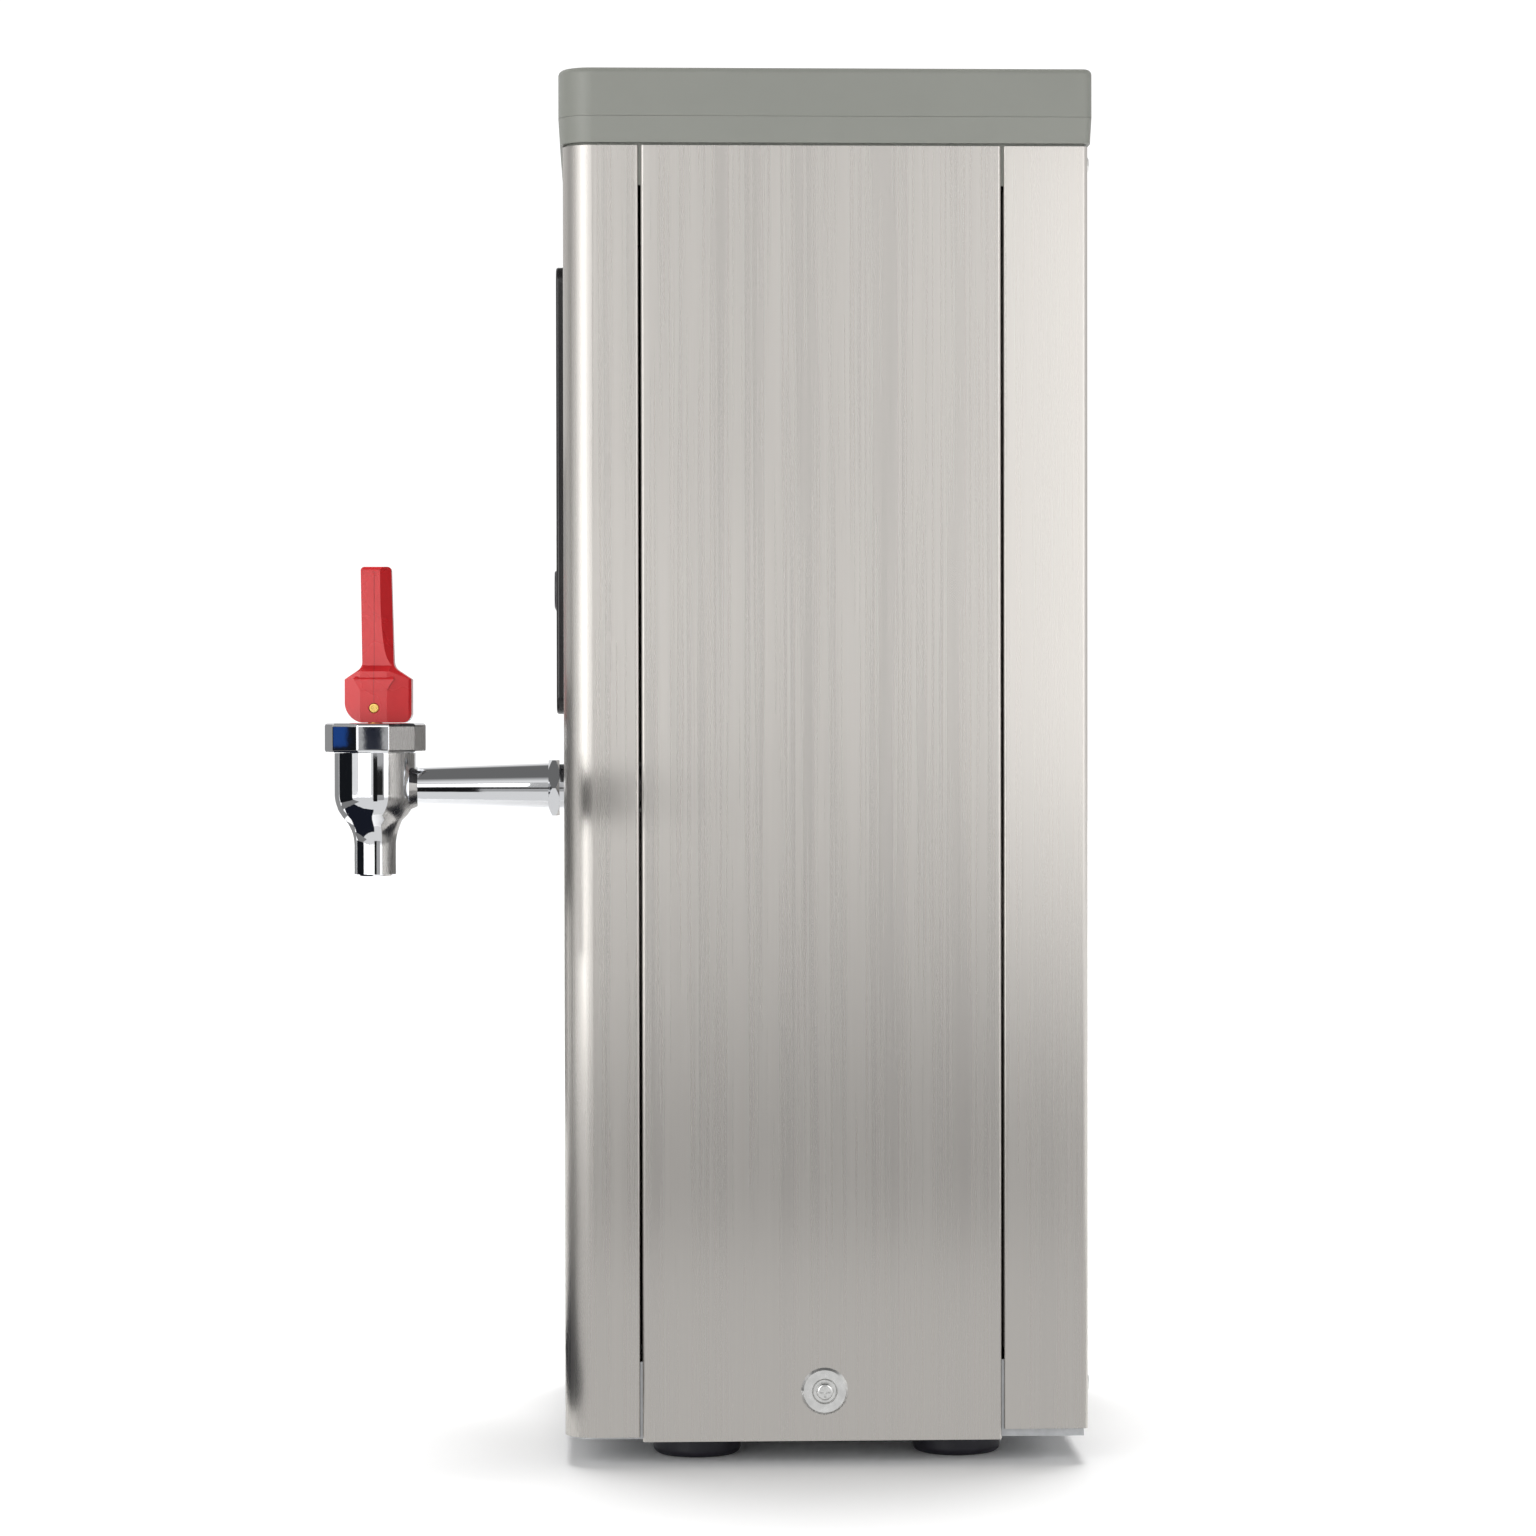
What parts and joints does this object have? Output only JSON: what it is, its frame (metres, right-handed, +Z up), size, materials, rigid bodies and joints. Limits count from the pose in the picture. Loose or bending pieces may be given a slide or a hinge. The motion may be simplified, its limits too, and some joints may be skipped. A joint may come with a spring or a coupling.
{
  "type": "countertop water dispenser",
  "caption": "Tall brushed-steel countertop hot water dispenser with a grey lid, a black control fascia and a chrome tap with a red tilt lever.",
  "frame": {"origin": "on the surface that the feet stand on, under the centre of the whole object", "axes": "+Z up; the tap and the control fascia face -Y; +X is on the right of a person who faces the tap"},
  "size_m": [0.225, 0.3148, 0.5324],
  "materials": {
    "brushed_steel": "vertical brushed grain",
    "galvanised_sheet": "matt galvanised",
    "lid_plastic": "satin moulded, grey green",
    "foot_rubber": "matt",
    "chrome": "polished",
    "lever_plastic": "gloss red",
    "brass": "turned",
    "nickel_brass": "nickel plated",
    "silicone": "matt translucent",
    "fascia_plastic": "gloss black",
    "display_window": "smoked",
    "button_plastic": "satin dark grey",
    "indicator_plastic": "frosted",
    "black_plastic": "fine moulded texture",
    "rocker_plastic": "gloss black",
    "circuit_board": "solder mask",
    "screw_steel": "bright zinc",
    "plate_aluminium": "satin, blank",
    "tank_steel": "mill finish",
    "insulation_foam": "closed cell foam"
  },
  "bodies": {
    "cabinet": {"base_pan": "galvanised_sheet", "board_standoffs": "screw_steel", "control_board": "circuit_board", "display_board": "circuit_board", "display_module": "black_plastic", "display_window": "display_window", "drain_cap": "black_plastic", "drain_hose": "silicone", "drain_outlet": "brass", "fascia_bezel": "fascia_plastic", "fascia_screws": "screw_steel", "fill_hose": "silicone", "foot_screws": "screw_steel", "front_left_foot": "foot_rubber", "front_panel": "brushed_steel", "front_right_foot": "foot_rubber", "heating_element": "tank_steel", "hose_clamps": "screw_steel", "indicator_lenses": "indicator_plastic", "inlet_fitting": "nickel_brass", "inlet_valve": "black_plastic", "inner_tank": "tank_steel", "insulation_jacket": "insulation_foam", "left_side_panel": "brushed_steel", "level_probes": "tank_steel", "lid": "lid_plastic", "outlet_hose": "silicone", "power_inlet": "black_plastic", "probe_holder": "silicone", "rating_plate": "plate_aluminium", "rear_left_foot": "foot_rubber", "rear_panel": "brushed_steel", "rear_right_foot": "foot_rubber", "rear_screws": "screw_steel", "right_side_panel": "brushed_steel", "shank_nut": "chrome", "shelf_brackets": "galvanised_sheet", "side_cup_washers": "screw_steel", "side_panel_screws": "screw_steel", "switch_housing": "black_plastic", "tact_switches": "black_plastic", "tank_lid": "tank_steel", "tank_shelf": "galvanised_sheet", "tap_body": "chrome", "tap_bonnet": "chrome", "tap_collar": "chrome", "tap_lock_nut": "brass", "tap_shank": "chrome", "tap_spring": "screw_steel", "temperature_probe": "tank_steel", "top_frame": "lid_plastic"},
    "stem": {"valve_stem": "brass", "lever_pin": "brass", "seat_cup": "silicone"},
    "lever": {"lever": "lever_plastic"},
    "rocker": {"rocker_switch": "rocker_plastic"},
    "power_button": {"power_button": "button_plastic"},
    "heat_button": {"heat_button": "button_plastic"},
    "minus_button": {"minus_button": "button_plastic"},
    "plus_button": {"plus_button": "button_plastic"}
  },
  "joints": [
    {"name": "stem_lift", "type": "slide", "parent": "cabinet", "child": "stem", "axis": [0, 0, 1], "range_m": [0, 0.00295], "deforming": ["tap_spring"]},
    {"name": "lever_tilt", "type": "hinge", "parent": "stem", "child": "lever", "pos_m": [0, -0.137, 0.2893], "axis": [1, 0, 0], "range_deg": [0, 40], "stiffness_Nm_per_rad": 0.0072, "springref_deg": -53.29},
    {"name": "rocker_tilt", "type": "hinge", "parent": "cabinet", "child": "rocker", "pos_m": [-0.014, 0.1364, 0.074], "axis": [1, 0, 0], "range_deg": [-20, 0]},
    {"name": "power_button_press", "type": "slide", "parent": "cabinet", "child": "power_button", "axis": [0, 1, 0], "range_m": [0, 0.0008], "stiffness_N_per_m": 500, "springref_m": -0.0008},
    {"name": "heat_button_press", "type": "slide", "parent": "cabinet", "child": "heat_button", "axis": [0, 1, 0], "range_m": [0, 0.0008], "stiffness_N_per_m": 500, "springref_m": -0.0008},
    {"name": "minus_button_press", "type": "slide", "parent": "cabinet", "child": "minus_button", "axis": [0, 1, 0], "range_m": [0, 0.0008], "stiffness_N_per_m": 500, "springref_m": -0.0008},
    {"name": "plus_button_press", "type": "slide", "parent": "cabinet", "child": "plus_button", "axis": [0, 1, 0], "range_m": [0, 0.0008], "stiffness_N_per_m": 500, "springref_m": -0.0008}
  ],
  "couplings": [
    {"joint": "stem_lift", "follows": "lever_tilt", "m_per_rad": 0.0042}
  ]
}
